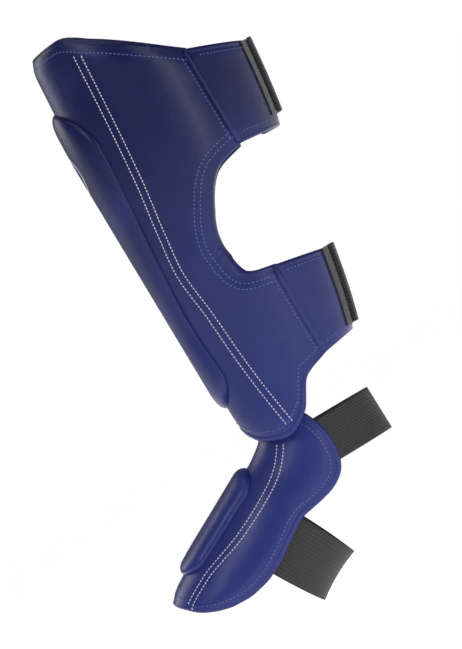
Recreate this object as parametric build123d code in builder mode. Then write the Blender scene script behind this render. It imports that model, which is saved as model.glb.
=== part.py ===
from build123d import *
import math
import os
from collections import namedtuple

# Shin and instep guard for kick boxing.
# Frame: +Z runs up the shin, -Y is the front, +Y the calf side, +X the near side.
# The origin lies on the leg's axis, level with the middle of the ankle elastic.
# All sizes are in millimetres.

# ---- Leg sleeve: the guard's outer surface, before the raised bar ----
shin_top = 383.5             # highest point of the shin shell
shin_front = -64.5           # front face of the shell along most of the shin
top_front = -58.0            # the same face at the very top, where it leans back
calf_half_width = 74.0       # half the width over the calf
calf_back = 97.0             # back of the strap on the calf
knee_back = 108.0            # the sleeve flares towards the knee
mid_half_width = 67.5        # half way down the shin
mid_back = 82.0
lower_half_width = 58.5      # at the lower strap
lower_back = 66.5
ankle_half_width = 53.0      # at the bottom of the shell
ankle_back = 46.0

# ---- Padding ----
front_pad = 19.0             # whole thickness over the shin bone, skins included
side_pad = 12.5
top_pad = 15.0
strap_pad = 5.0              # whole thickness of the strap on the calf
tail_pad = 5.0               # whole thickness of the thin tail over the instep
leather = 1.2                # synthetic leather skin
lining = 1.0                 # inner textile skin
bar_height = 6.0             # how far the raised bars stand proud
binding_width = 5.5          # folded edge binding, seen from outside
binding_proud = 0.5          # how far the binding stands off both skins

# ---- Side outline of the shin shell ----
top_crest = -37.0            # Y of the highest point
top_front_drop = 1.5         # how far the front of the top edge lies below it
upper_seam = 54.0            # Y of the seam between upper wing and strap
upper_seam_top = 325.0
upper_seam_bottom = 239.0
lower_seam = 26.4            # Y of the seam between lower wing and strap
lower_seam_top = 141.0
lower_seam_bottom = 61.0
waist_back = -5.7            # Y of the deepest point of the side cut-out
waist_height = 175.0
tail_bottom = 18.7           # lowest point of the tail, on each side
tail_bottom_y = -34.0
tail_front = 40.0            # height of the tail's edge on the centre line

# ---- Raised bar on the shin ----
bar_top = 336.0
bar_bottom = 62.0
bar_top_half = 50.0          # half width near the top
bar_waist_half = 31.0        # half width at its narrowest
bar_bottom_half = 33.0
bar_waist_height = 125.0

# ---- Straps ----
upper_strap_back_top = 308.5     # the strap narrows from its seam to the calf
upper_strap_back_bottom = 236.0
lower_strap_back_top = 132.0
lower_strap_back_bottom = 65.5
closure_height = 64.0            # hook and loop closing strap
closure_thick = 3.0
hook_thick = 1.2
loop_thick = 1.2
closure_gap = 0.3                # between hooks and loops at rest
upper_tip = -38.0                # X where the near strap ends, under the closure
lower_tip = -30.0
closure_end = 14.0               # X where the closures end
hook_length = 46.0
loop_overlap = 12.0              # loop panel shown past the closure's end
anchor_width = 18.0              # sewn end of a closure on the far wing

# ---- Instep ----
slope = 28.0                 # fall of the instep below the horizontal, in degrees
instep_pad = 10.0
instep_side_pad = 8.0
tongue_top = 48.0            # top edge of the instep, inside the tail
tongue_gap = 4.8             # between the tail and the tongue inside it
tongue_half_width = 40.5
instep_bend = (-69.0, 16.7)  # Y, Z where the instep turns forwards
instep_length = 132.0        # from the bend to the toe edge, along the slope
instep_half_width = 53.0
instep_depth = 106.0         # whole depth of the sleeve square to the slope
toe_half_width = 44.0
toe_depth = 76.0
instep_rear = -5.0           # Y of the rear edge, where the ankle elastic starts
instep_bar_half = 33.0
instep_bar_start = 8.0       # from the bend, along the slope
instep_bar_length = 100.0

# ---- Elastics and the strip that hangs the instep ----
elastic_thick = 2.0
ankle_elastic_height = 38.0
ankle_elastic_back = 41.0
ankle_elastic_middle = -12.0 # Y where the ankle elastic is at its widest
ankle_elastic_half_width = 40.0
foot_elastic_width = 51.0
foot_elastic_half_width = 47.0
foot_elastic_start = 18.0    # from the bend, along the slope
foot_elastic_seam = 51.0     # depth where the foot elastic is at its widest
foot_elastic_depth = 109.0   # depth of the foot elastic under the sole
strip_thick = 1.6
strip_half_width = 30.0
strip_rise = 26.0
strip_drop = 10.0            # how far the strip reaches below the tongue's top edge
strip_gap = 0.4

# ---- Working values ----
reach = 200.0                # more than any half width, for cutting prisms
beyond = 12.0                # sleeves run this far past the edges that trim them
open_front = -110.0          # trimming outlines run past the front by this much

Station = namedtuple("Station", "height half_width front back front_pad side_pad back_pad")

mid_z = (upper_seam_bottom + lower_seam_top) / 2
calf_z = (upper_seam_top + upper_seam_bottom) / 2
lower_z = lower_seam_bottom + 0.55 * (lower_seam_top - lower_seam_bottom)
taper_z = lower_seam_bottom + 0.15 * (lower_seam_top - lower_seam_bottom)
tail_z = (tail_front + tail_bottom) / 2 + binding_width
middle_pad = (tail_pad + front_pad) / 2 - 3.0

leg = [
    Station(tail_bottom - beyond, ankle_half_width - 1.5, shin_front + 1.0, ankle_back - 4.0,
            tail_pad, tail_pad, tail_pad),
    Station(tail_z, ankle_half_width, shin_front, ankle_back, tail_pad, tail_pad, tail_pad),
    Station(taper_z, (ankle_half_width + lower_half_width) / 2, shin_front,
            (ankle_back + lower_back) / 2, middle_pad, (tail_pad + side_pad) / 2, strap_pad),
    Station(lower_z, lower_half_width, shin_front, lower_back, front_pad, side_pad, strap_pad),
    Station(mid_z, mid_half_width, shin_front, mid_back, front_pad, side_pad, strap_pad),
    Station(calf_z, calf_half_width, shin_front, calf_back, front_pad, side_pad, strap_pad),
    Station(shin_top + beyond, calf_half_width, top_front, knee_back, top_pad, side_pad, strap_pad),
]


def outer_skin(depth):
    """Ellipses this deep inside the sleeve's outer surface, or outside it if negative."""
    return [(s.height, s.half_width - depth, s.front + depth, s.back - depth) for s in leg]


def inner_skin(height):
    """Ellipses this high above the sleeve's inner surface, towards the outside."""
    return [
        (
            s.height,
            s.half_width - s.side_pad + height,
            s.front + s.front_pad - height,
            s.back - s.back_pad + height,
        )
        for s in leg
    ]


def sleeve(ellipses):
    """A solid lofted through level ellipses."""
    with BuildPart() as solid:
        for height, half_width, front, back in ellipses:
            with BuildSketch(Plane.XY.offset(height)):
                with Locations((0, (front + back) / 2)):
                    Ellipse(half_width, (back - front) / 2)
        loft(ruled=True)
    return solid.part


def prism(side, far_x=-80.0, near_x=80.0):
    """A side outline run across the leg, from the far X to the near X."""
    with BuildPart() as solid:
        extrude(side.moved(Location((far_x, 0, 0))), amount=near_x - far_x, dir=(1, 0, 0))
    return solid.part


def slab(x_range, y_range, z_range):
    """A box between the given limits, for trimming."""
    low = [limits[0] for limits in (x_range, y_range, z_range)]
    high = [limits[1] for limits in (x_range, y_range, z_range)]
    with BuildPart() as solid:
        with Locations(tuple((a + b) / 2 for a, b in zip(low, high))):
            Box(*[b - a for a, b in zip(low, high)])
    return solid.part


def side_polygon(*corners):
    """A flat outline in the side view, from its Y, Z corners."""
    with BuildSketch(Plane.YZ) as side:
        with BuildLine():
            Polyline(*corners, close=True)
        make_face()
    return side.sketch


# ---- Side outline of the shin shell ----
def shin_side(inset):
    """Side outline of the shin shell, drawn this far inside its edges."""
    seam_lift = 0.62 * inset
    with BuildLine(Plane.YZ) as edge:
        top_edge = Spline(
            (top_front, shin_top - top_front_drop - inset),
            (top_crest, shin_top - inset),
            (top_crest + 25.0, shin_top - 13.0 - 1.15 * inset),
            (upper_seam - inset, upper_seam_top - seam_lift),
            tangents=[(1, 0.35), (1, -0.5)],
        )
        upper_line = Line(top_edge @ 1, (upper_seam - inset, upper_seam_bottom + inset))
        cutout_edge = Spline(
            upper_line @ 1,
            (upper_seam - 26.0, upper_seam_bottom - 7.0 + inset),
            (waist_back + 8.0 - 0.9 * inset, waist_height + 26.0 + 0.45 * inset),
            (waist_back - inset, waist_height),
            (waist_back + 6.5 - 0.75 * inset, lower_seam_top + 7.0 - 0.65 * inset),
            (lower_seam - inset, lower_seam_top - inset),
            tangents=[(-1, 0), (1, 0)],
        )
        lower_line = Line(cutout_edge @ 1, (lower_seam - inset, lower_seam_bottom + inset))
        bottom_edge = Spline(
            lower_line @ 1,
            (lower_seam - 22.0, lower_seam_bottom - 8.0 + inset),
            (tail_bottom_y + 21.0 - 0.7 * inset, tail_bottom + 10.5 + 0.7 * inset),
            (tail_bottom_y, tail_bottom + inset),
            (tail_bottom_y - 21.0 + 0.3 * inset, tail_bottom + 7.0 + inset),
            (shin_front, tail_front + inset),
            tangents=[(-1, -0.2), (-1, 2)],
        )
        Polyline(
            bottom_edge @ 1,
            (open_front, tail_front + 20.0),
            (open_front, shin_top - top_front_drop - 20.0),
            top_edge @ 0,
        )
    return make_face(edge.edges())


shin_outline = prism(shin_side(0))
shin_field = prism(shin_side(binding_width))

# ---- Shin shell ----
outer_sleeve = sleeve(outer_skin(0))
under_cover = sleeve(outer_skin(leather))
over_lining = sleeve(inner_skin(lining))
inner_sleeve = sleeve(inner_skin(0))

with BuildPart() as shin_cover:
    add(outer_sleeve)
    add(under_cover, mode=Mode.SUBTRACT)
    add(shin_field, mode=Mode.INTERSECT)
shin_cover.part.label = "shin_cover"

with BuildPart() as shin_foam:
    add(under_cover)
    add(over_lining, mode=Mode.SUBTRACT)
    add(shin_field, mode=Mode.INTERSECT)
shin_foam.part.label = "shin_foam"

with BuildPart() as shin_lining:
    add(over_lining)
    add(inner_sleeve, mode=Mode.SUBTRACT)
    add(shin_field, mode=Mode.INTERSECT)
shin_lining.part.label = "shin_lining"

binding_outside = sleeve(outer_skin(-binding_proud))
binding_inside = sleeve(inner_skin(-binding_proud))
with BuildPart() as shin_binding:
    add(binding_outside)
    add(binding_inside, mode=Mode.SUBTRACT)
    add(shin_outline, mode=Mode.INTERSECT)
    add(shin_field, mode=Mode.SUBTRACT)
shin_binding.part.label = "shin_binding"


# ---- Raised bar on the shin ----
def bar_front(inset):
    """Front outline of the shin's raised bar, drawn this far inside its edge."""
    top, bottom = bar_top - inset, bar_bottom + inset
    widest = bar_top_half - inset
    foot = bar_bottom_half - inset
    with BuildLine(Plane.XZ) as near_side:
        head = ThreePointArc((0, top), (0.74 * widest, top - 12.0), (widest, top - 42.0))
        flank = Spline(
            head @ 1,
            (widest - 5.0, (top + bar_waist_height) / 2),
            (bar_waist_half - inset, bar_waist_height),
            (foot, bottom + 24.0),
        )
        ThreePointArc(flank @ 1, (0.74 * foot, bottom + 7.0), (0, bottom))
        Line((0, bottom), (0, top))
    near_half = make_face(near_side.edges())
    with BuildPart() as solid:
        extrude(near_half, amount=reach, dir=(0, -1, 0))
        mirror(about=Plane.YZ)
    return solid.part


bar_core = bar_front(leather)
bar_shape = bar_front(0)
bar_core_top = sleeve(outer_skin(leather - bar_height))
bar_top_skin = sleeve(outer_skin(-bar_height))
with BuildPart() as shin_bar_foam:
    add(bar_core_top)
    add(outer_sleeve, mode=Mode.SUBTRACT)
    add(bar_core, mode=Mode.INTERSECT)
shin_bar_foam.part.label = "shin_bar_foam"

with BuildPart() as shin_bar_cover:
    add(bar_top_skin)
    add(outer_sleeve, mode=Mode.SUBTRACT)
    add(bar_shape, mode=Mode.INTERSECT)
    add(shin_bar_foam.part, mode=Mode.SUBTRACT)
shin_bar_cover.part.label = "shin_bar_cover"

# ---- Straps ----
upper_strap_side = side_polygon(
    (upper_seam, upper_seam_bottom),
    (calf_back + 2 * beyond, upper_strap_back_bottom),
    (calf_back + 2 * beyond, upper_strap_back_top),
    (upper_seam, upper_seam_top),
)
lower_strap_side = side_polygon(
    (lower_seam, lower_seam_bottom),
    (lower_back + 2 * beyond, lower_strap_back_bottom),
    (lower_back + 2 * beyond, lower_strap_back_top),
    (lower_seam, lower_seam_top),
)
closure_inside = -(loop_thick + closure_gap + hook_thick)
closure_outside = closure_inside - closure_thick
hook_sleeve = sleeve(outer_skin(-(loop_thick + closure_gap)))
loop_sleeve = sleeve(outer_skin(-loop_thick))
closure_inner_sleeve = sleeve(outer_skin(closure_inside))
closure_outer_sleeve = sleeve(outer_skin(closure_outside))


def between(outside, inside, *trims):
    """What lies between two sleeves and inside every trimming solid."""
    with BuildPart() as layer:
        add(outside)
        add(inside, mode=Mode.SUBTRACT)
        for trim in trims:
            add(trim, mode=Mode.INTERSECT)
    return layer.part


def strap_pieces(level, side, seam, tip, bottom, top):
    """The near strap, and the closure that comes round to it from the far side."""
    middle = (top + bottom) / 2
    closure_z = (middle - closure_height / 2, middle + closure_height / 2)
    near = prism(side)
    near_trim = slab((tip, reach), (seam, reach), (0, shin_top))
    closure_trim = slab((-reach, closure_end), (seam, reach), closure_z)
    hook_trim = slab((closure_end - hook_length, closure_end), (seam, reach), closure_z)
    loop_trim = slab((tip, closure_end + loop_overlap), (seam + loop_thick, reach), closure_z)
    anchor_trim = slab((-reach, 0), (seam - anchor_width, seam), closure_z)
    made = {
        "strap_cover": between(outer_sleeve, under_cover, near, near_trim),
        "strap_padding": between(under_cover, over_lining, near, near_trim),
        "strap_lining": between(over_lining, inner_sleeve, near, near_trim),
        "loop_panel": between(loop_sleeve, outer_sleeve, loop_trim),
        "closure_strap": between(closure_outer_sleeve, closure_inner_sleeve, closure_trim),
        "hook_tape": between(closure_inner_sleeve, hook_sleeve, hook_trim),
        "closure_anchor": between(closure_outer_sleeve, binding_outside, anchor_trim),
    }
    for kind, solid in made.items():
        solid.label = f"{level}_{kind}"
    return list(made.values())


strap_nodes = strap_pieces(
    "upper", upper_strap_side, upper_seam, upper_tip, upper_seam_bottom, upper_seam_top - 10.0
)
strap_nodes += strap_pieces(
    "lower", lower_strap_side, lower_seam, lower_tip, lower_seam_bottom, lower_seam_top
)

# ---- Instep ----
fall = math.radians(slope)
along = Vector(0, -math.cos(fall), -math.sin(fall))
inward = Vector(0, math.sin(fall), -math.cos(fall))
bend = Vector(0, *instep_bend)

Ring = namedtuple("Ring", "front turn depth half_width front_pad side_pad")
tongue_y = shin_front + tail_pad + tongue_gap
instep_rings = [
    Ring(Vector(0, tongue_y + 2.0, tongue_top + beyond), 0, 92.0, tongue_half_width,
         instep_pad, instep_side_pad),
    Ring(Vector(0, tongue_y, tongue_top - 12.0), 0, 95.0, tongue_half_width + 1.0,
         instep_pad, instep_side_pad),
    Ring(Vector(0, tongue_y - 1.5, tongue_top - 20.0), 0.2, 98.0, tongue_half_width + 1.5,
         instep_pad, instep_side_pad),
    Ring(bend, 0.66, 104.0, tongue_half_width + 4.0, instep_pad, instep_side_pad),
    Ring(bend + along * 22.0, 1, instep_depth, instep_half_width - 2.0,
         instep_pad, instep_side_pad),
    Ring(bend + along * 55.0, 1, instep_depth, instep_half_width, instep_pad, instep_side_pad),
    Ring(bend + along * 90.0, 1, instep_depth - 10.0, instep_half_width - 1.0,
         instep_pad, instep_side_pad),
    Ring(bend + along * 118.0 + inward * 1.5, 1, instep_depth - 20.0, instep_half_width - 5.0,
         instep_pad, instep_side_pad),
    Ring(bend + along * (instep_length + beyond) + inward * 5.0, 1, toe_depth, toe_half_width,
         instep_pad, instep_side_pad),
]


def instep_sleeve(depth=0.0, height=None):
    """A solid this deep inside the instep's outer surface, or this high above its inner one."""
    with BuildPart() as solid:
        for ring in instep_rings:
            turn = ring.turn * (math.pi / 2 - fall)
            down = Vector(0, math.cos(turn), -math.sin(turn))
            inset, side = depth, depth
            if height is not None:
                inset, side = ring.front_pad - height, ring.side_pad - height
            centre = ring.front + down * (ring.depth / 2)
            level = Plane(origin=centre, x_dir=(1, 0, 0), z_dir=down.cross(Vector(1, 0, 0)))
            with BuildSketch(level):
                Ellipse(ring.depth / 2 - inset, ring.half_width - side, rotation=-90)
        loft(ruled=True)
    return solid.part


def instep_side(inset):
    """Side outline of the instep, drawn this far inside its edges."""
    toe = bend + along * instep_length
    with BuildLine(Plane.YZ) as edge:
        rear_edge = Spline(
            (tongue_y, tongue_top - inset),
            (tongue_y + 18.0, tongue_top - 5.0 - inset),
            (instep_rear - 9.0 - inset, 26.0 - 0.6 * inset),
            (instep_rear - inset, 0.0),
            (instep_rear - 4.5 - inset, -27.0 + 0.5 * inset),
            tangents=[(1, 0), (-0.6, -1)],
        )
        lower_edge = Spline(
            rear_edge @ 1,
            (-22.0, -36.0 + inset),
            (-58.0, -42.0 + inset),
            (-90.0, -64.0 + inset),
            (-124.0, -76.5 + inset),
            (-156.0 + 0.3 * inset, -71.0 + inset),
        )
        toe_edge = ThreePointArc(
            lower_edge @ 1,
            (toe.Y + 10.0 + 0.8 * inset, toe.Z - 17.5 + 0.5 * inset),
            (toe.Y + 1.0 + inset, toe.Z),
        )
        Polyline(
            toe_edge @ 1,
            (toe.Y + 8.0 + inset, toe.Z + 20.0),
            (toe.Y + 30.0, toe.Z + 60.0),
            (bend.Y - 20.0, bend.Z + 50.0),
            (tongue_y - 12.0, tongue_top - inset),
            rear_edge @ 0,
        )
    return make_face(edge.edges())


instep_outline = prism(instep_side(0))
instep_field = prism(instep_side(binding_width))
instep_outer = instep_sleeve()
instep_under_cover = instep_sleeve(leather)
instep_over_lining = instep_sleeve(height=lining)
instep_inner = instep_sleeve(height=0.0)

instep_binding_outside = instep_sleeve(-binding_proud)
instep_binding_inside = instep_sleeve(height=-binding_proud)

instep_cover = between(instep_outer, instep_under_cover, instep_field)
instep_foam = between(instep_under_cover, instep_over_lining, instep_field)
instep_lining = between(instep_over_lining, instep_inner, instep_field)
instep_cover.label = "instep_cover"
instep_foam.label = "instep_foam"
instep_lining.label = "instep_lining"

with BuildPart() as instep_binding:
    add(instep_binding_outside)
    add(instep_binding_inside, mode=Mode.SUBTRACT)
    add(instep_outline, mode=Mode.INTERSECT)
    add(instep_field, mode=Mode.SUBTRACT)
instep_binding.part.label = "instep_binding"

# ---- Raised bar on the instep ----
def instep_bar_front(inset):
    """The instep's bar outline square to the slope, drawn this far inside its edge."""
    start = bend + along * (instep_bar_start + inset)
    level = Plane(origin=start, x_dir=(1, 0, 0), z_dir=-inward)
    length = instep_bar_length - 2 * inset
    half = instep_bar_half - inset
    with BuildPart() as solid:
        with BuildSketch(level):
            with Locations((0, -length / 2)):
                RectangleRounded(2 * half, length, 0.45 * half)
        extrude(amount=reach / 4, both=True)
    return solid.part


instep_bar_core = instep_bar_front(leather)
instep_bar_shape = instep_bar_front(0)
instep_bar_core_top = instep_sleeve(leather - bar_height)
instep_bar_top_skin = instep_sleeve(-bar_height)
instep_bar_foam = between(instep_bar_core_top, instep_outer, instep_bar_core)
instep_bar_foam.label = "instep_bar_foam"

with BuildPart() as instep_bar_cover:
    add(instep_bar_top_skin)
    add(instep_outer, mode=Mode.SUBTRACT)
    add(instep_bar_shape, mode=Mode.INTERSECT)
    add(instep_bar_foam, mode=Mode.SUBTRACT)
instep_bar_cover.part.label = "instep_bar_cover"

# ---- Elastics ----
ankle_drop = ankle_elastic_back - ankle_elastic_middle
with BuildPart() as ankle_elastic:
    with BuildSketch(Plane.XY.offset(-ankle_elastic_height / 2)):
        with Locations((0, ankle_elastic_middle)):
            Ellipse(ankle_elastic_half_width, ankle_drop)
            Ellipse(
                ankle_elastic_half_width - elastic_thick,
                ankle_drop - elastic_thick,
                mode=Mode.SUBTRACT,
            )
    extrude(amount=ankle_elastic_height)
    add(slab((-reach, reach), (ankle_elastic_middle, reach), (-reach, reach)), mode=Mode.INTERSECT)
    add(instep_outline, mode=Mode.SUBTRACT)
ankle_elastic.part.label = "ankle_elastic"

foot_start = bend + along * foot_elastic_start
foot_plane = Plane(
    origin=foot_start + inward * foot_elastic_seam,
    x_dir=(1, 0, 0),
    z_dir=along,
)
foot_drop = foot_elastic_depth - foot_elastic_seam
with BuildPart() as foot_elastic:
    with BuildSketch(foot_plane):
        Ellipse(foot_elastic_half_width, foot_drop)
        Ellipse(
            foot_elastic_half_width - elastic_thick,
            foot_drop - elastic_thick,
            mode=Mode.SUBTRACT,
        )
    extrude(amount=foot_elastic_width)
    add(instep_outline, mode=Mode.SUBTRACT)
foot_elastic.part.label = "foot_elastic"

# ---- Strip that hangs the instep inside the tail ----
strip_outside = sleeve(inner_skin(-strip_gap))
strip_inside = sleeve(inner_skin(-strip_gap - strip_thick))
strip_trim = slab(
    (-strip_half_width, strip_half_width),
    (-reach, 0),
    (tongue_top - strip_drop, tongue_top - strip_drop + strip_rise),
)
hinge_strip = between(strip_outside, strip_inside, strip_trim)
hinge_strip.label = "hinge_strip"

pieces = [shin_cover, shin_foam, shin_lining, shin_binding, shin_bar_foam, shin_bar_cover]
pieces += [instep_binding, instep_bar_cover, ankle_elastic, foot_elastic]
nodes = [piece.part for piece in pieces] + strap_nodes
nodes += [instep_cover, instep_foam, instep_lining, instep_bar_foam, hinge_strip]
os.makedirs("parts", exist_ok=True)
for node in nodes:
    export_step(node, f"parts/{node.label}.step")
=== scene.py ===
import bisect
import math

import bmesh
import bpy
from mathutils import Matrix, Vector, kdtree


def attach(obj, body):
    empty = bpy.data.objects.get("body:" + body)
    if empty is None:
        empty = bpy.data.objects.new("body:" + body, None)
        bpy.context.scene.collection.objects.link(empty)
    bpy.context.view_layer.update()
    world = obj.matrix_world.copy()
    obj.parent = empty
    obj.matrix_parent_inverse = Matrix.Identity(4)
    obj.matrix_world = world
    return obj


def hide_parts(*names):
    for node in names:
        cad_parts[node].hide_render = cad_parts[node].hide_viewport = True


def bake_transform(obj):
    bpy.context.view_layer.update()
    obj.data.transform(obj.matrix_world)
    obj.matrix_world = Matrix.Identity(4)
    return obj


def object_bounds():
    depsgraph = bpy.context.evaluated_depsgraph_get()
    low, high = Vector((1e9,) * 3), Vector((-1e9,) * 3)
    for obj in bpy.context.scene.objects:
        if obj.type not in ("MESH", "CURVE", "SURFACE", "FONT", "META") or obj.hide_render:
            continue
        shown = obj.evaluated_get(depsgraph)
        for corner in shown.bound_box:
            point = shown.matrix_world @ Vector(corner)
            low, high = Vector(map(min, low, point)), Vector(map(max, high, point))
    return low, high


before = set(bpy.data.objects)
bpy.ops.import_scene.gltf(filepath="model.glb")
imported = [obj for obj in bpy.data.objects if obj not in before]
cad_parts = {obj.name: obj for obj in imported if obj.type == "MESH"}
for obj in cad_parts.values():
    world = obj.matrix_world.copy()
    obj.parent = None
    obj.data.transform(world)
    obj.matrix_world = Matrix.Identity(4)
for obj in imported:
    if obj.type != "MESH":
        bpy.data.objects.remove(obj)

bl_info = {
    "name": "Shin and instep guard",
    "version": (1, 0, 0),
    "blender": (4, 5, 0),
    "location": "View3D > Sidebar > Shin guard",
    "description": "Builds the padded leather shell, instep, straps and elastics of a shin guard",
    "category": "Object",
}

CAD_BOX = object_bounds()
MM = 0.001

# ---------------------------------------------------------------- driving sizes, in mm
SEAM_Y = {"upper": 54.0, "lower": 26.4}
SEAM_TOP = {"upper": 325.0, "lower": 141.0}
SEAM_BOTTOM = {"upper": 239.0, "lower": 61.0}
STRAP_BACK_TOP = {"upper": 308.5, "lower": 132.0}
STRAP_BACK_BOTTOM = {"upper": 236.0, "lower": 65.5}
STRAP_TIP = {"upper": -37.5, "lower": -29.5}
WAIST_Y = -5.7
WAIST_Z = 175.0
LOOP_THICK = 1.2
HOOK_THICK = 1.2
CLOSURE_GAP = 0.3
CLOSURE_THICK = 3.0
CLOSURE_HEIGHT = 64.0
CLOSURE_MIDDLE = {"upper": 277.0, "lower": 101.0}
CLOSURE_END = 14.0

# Level stations of the shell: height, half width, front, back, front pad, side pad, back pad
LEG = (
    (6.7, 51.5, -63.5, 42.0, 5.0, 5.0, 5.0),
    (34.85, 53.0, -64.5, 46.0, 5.0, 5.0, 5.0),
    (73.0, 55.75, -64.5, 58.5, 9.0, 8.75, 5.0),
    (105.0, 58.5, -64.5, 66.5, 19.0, 12.5, 5.0),
    (190.0, 67.5, -64.5, 82.0, 19.0, 12.5, 5.0),
    (282.0, 74.0, -64.5, 97.0, 19.0, 12.5, 5.0),
    (395.5, 74.0, -58.0, 108.0, 15.0, 12.5, 5.0),
)


def smooth_line(xs, ys):
    """A smooth line through the points that never swings past them, as a function of x."""
    steps = [(ys[i + 1] - ys[i]) / (xs[i + 1] - xs[i]) for i in range(len(xs) - 1)]
    slopes = [steps[0]]
    for a, b in zip(steps, steps[1:]):
        slopes.append(0.0 if a * b <= 0 else 2 * a * b / (a + b))
    slopes.append(steps[-1])

    def at(x):
        if x <= xs[0]:
            return ys[0] + slopes[0] * (x - xs[0]) * 0.3
        if x >= xs[-1]:
            return ys[-1] + slopes[-1] * (x - xs[-1]) * 0.3
        i = bisect.bisect_right(xs, x) - 1
        width = xs[i + 1] - xs[i]
        t = (x - xs[i]) / width
        return (
            ys[i] * (1 + 2 * t) * (1 - t) ** 2
            + slopes[i] * width * t * (1 - t) ** 2
            + ys[i + 1] * t * t * (3 - 2 * t)
            - slopes[i + 1] * width * t * t * (1 - t)
        )

    return at


LEG_LINES = [smooth_line([s[0] for s in LEG], [s[k] for s in LEG]) for k in range(1, 7)]
TOP_LINE = smooth_line([-64.5, -58.0, -37.0, -12.0, 54.0], [381.5, 382.0, 383.5, 370.5, 325.0])
BOTTOM_LINE = smooth_line(
    [-64.5, -62.5, -55.0, -34.0, -13.0, 4.4, 26.4], [40.0, 34.5, 25.5, 18.7, 29.2, 53.0, 61.0]
)


# The cut-out's edges above and below the waist: height by share of the way to the seam
CUT_UPPER = smooth_line([0.0, 0.366, 0.751, 1.0], [175.0, 201.0, 232.0, 239.0])
CUT_LOWER = smooth_line([0.0, 0.45, 1.0], [175.0, 148.0, 141.0])


def leg_ring(z, inside=False, lift=0.0):
    """Half width, middle Y and radius in Y of the shell's outer or inner surface."""
    half, front, back, front_pad, side_pad, back_pad = (line(z) for line in LEG_LINES)
    if inside:
        half, front, back = half - side_pad, front + front_pad, back - back_pad
    half, front, back = half + lift, front - lift, back + lift
    return half, (front + back) / 2, (back - front) / 2


def leg_point(angle, z, inside=False, lift=0.0):
    """A point on the shell's surface; angle 0 is the front and positive is the near side."""
    half, middle, radius = leg_ring(z, inside, lift)
    return Vector((half * math.sin(angle), middle - radius * math.cos(angle), z))


def leg_angle(y, z, inside=False):
    """The near-side angle at which the surface reaches this Y."""
    _, middle, radius = leg_ring(z, inside)
    return math.acos(min(max((middle - y) / radius, -1.0), 1.0))


def settle(edge, angle_at):
    """The height at which a column of the surface meets an edge given as a function of Y."""
    z = edge(0.0)
    for _ in range(10):
        _, middle, radius = leg_ring(z)
        z = edge(middle - radius * math.cos(angle_at(z)))
    return z


# ---------------------------------------------------------------- outline of the shell
def edge_paths(step=2.5):
    """The shell's free edges as lists of (angle, z): top, bottom and both cut-outs."""
    paths = {}
    for name, edge, seam, seam_z in (
        ("top", TOP_LINE, SEAM_Y["upper"], SEAM_TOP["upper"]),
        ("bottom", BOTTOM_LINE, SEAM_Y["lower"], SEAM_BOTTOM["lower"]),
    ):
        last = leg_angle(seam, seam_z)
        count = int(2 * last * 70.0 / step)
        path = []
        for k in range(count + 1):
            angle = -last + 2 * last * k / count
            path.append((angle, settle(edge, lambda z, angle=angle: abs(angle))))
        paths[name] = path
    cut = []
    for k in range(61):
        q = 1 - k / 60
        y = WAIST_Y + q * q * (SEAM_Y["upper"] - WAIST_Y)
        cut.append((leg_angle(y, CUT_UPPER(q)), CUT_UPPER(q)))
    for k in range(1, 41):
        q = k / 40
        y = WAIST_Y + q * q * (SEAM_Y["lower"] - WAIST_Y)
        cut.append((leg_angle(y, CUT_LOWER(q)), CUT_LOWER(q)))
    paths["near_cut"] = cut
    paths["far_cut"] = [(-angle, z) for angle, z in cut]
    return paths


SHELL_EDGES = edge_paths()


def edge_tree():
    """Finds how far a point of the shell lies from its free edges."""
    points = [leg_point(a, z) for path in SHELL_EDGES.values() for a, z in path]
    tree = kdtree.KDTree(len(points))
    for k, point in enumerate(points):
        tree.insert(point, k)
    tree.balance()
    return tree


SHELL_TREE = edge_tree()

# How far the padding thins towards a bound edge, and by what share on each side
ROLL_WIDTH = 15.0
ROLL_OUTSIDE = 0.24
ROLL_INSIDE = 0.34


def shell_skin(angle, z, inside=False, lift=0.0):
    """A point on the finished shell, whose padding thins out towards its bound edges."""
    outer = leg_point(angle, z)
    inner = leg_point(angle, z, inside=True)
    _, _, distance = SHELL_TREE.find(outer)
    near = max(0.0, 1 - distance / ROLL_WIDTH) ** 2
    across = outer - inner
    normal = across.normalized()
    if inside:
        return inner + across * ROLL_INSIDE * near + normal * lift
    return outer - across * ROLL_OUTSIDE * near + normal * lift


# ---------------------------------------------------------------- mesh helpers
def make_object(name, bm, body, material, *, smooth=True, blend=None, nodes=()):
    """Turn a bmesh in millimetres into a finished piece in metres."""
    bmesh.ops.scale(bm, vec=(MM, MM, MM), verts=bm.verts)
    mesh = bpy.data.meshes.new(name)
    bm.to_mesh(mesh)
    bm.free()
    for polygon in mesh.polygons:
        polygon.use_smooth = smooth
    mesh.materials.append(material)
    piece = bpy.data.objects.new(name, mesh)
    bpy.context.scene.collection.objects.link(piece)
    if blend:
        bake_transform(piece)
    else:
        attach(piece, body)
    if nodes:
        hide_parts(*nodes)
    return piece


def grid_patch(bm, columns, rows, place):
    """Add a grid whose vertices go where place(u, v) says, u and v from 0 to 1."""
    if bm.loops.layers.uv.active is None:
        bm.loops.layers.uv.new("UVMap")
    made = bmesh.ops.create_grid(bm, x_segments=columns, y_segments=rows, size=1.0, calc_uvs=True)
    for vertex in made["verts"]:
        u, v = (vertex.co.x + 1) / 2, (vertex.co.y + 1) / 2
        vertex.co = place(u, v)
    return made["verts"]


def face_out(bm, toward_outside=True):
    """Point the faces of an open sheet away from the leg's axis, or towards it."""
    for face in bm.faces:
        face.normal_update()
    total = sum(
        face.normal.x * face.calc_center_median().x * face.calc_area() for face in bm.faces
    )
    if (total < 0) == toward_outside:
        bmesh.ops.reverse_faces(bm, faces=bm.faces)


def face_front(bm):
    """Point the faces of an open pad forwards."""
    if sum(face.normal.y * face.calc_area() for face in bm.faces) > 0:
        bmesh.ops.reverse_faces(bm, faces=bm.faces)


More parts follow.
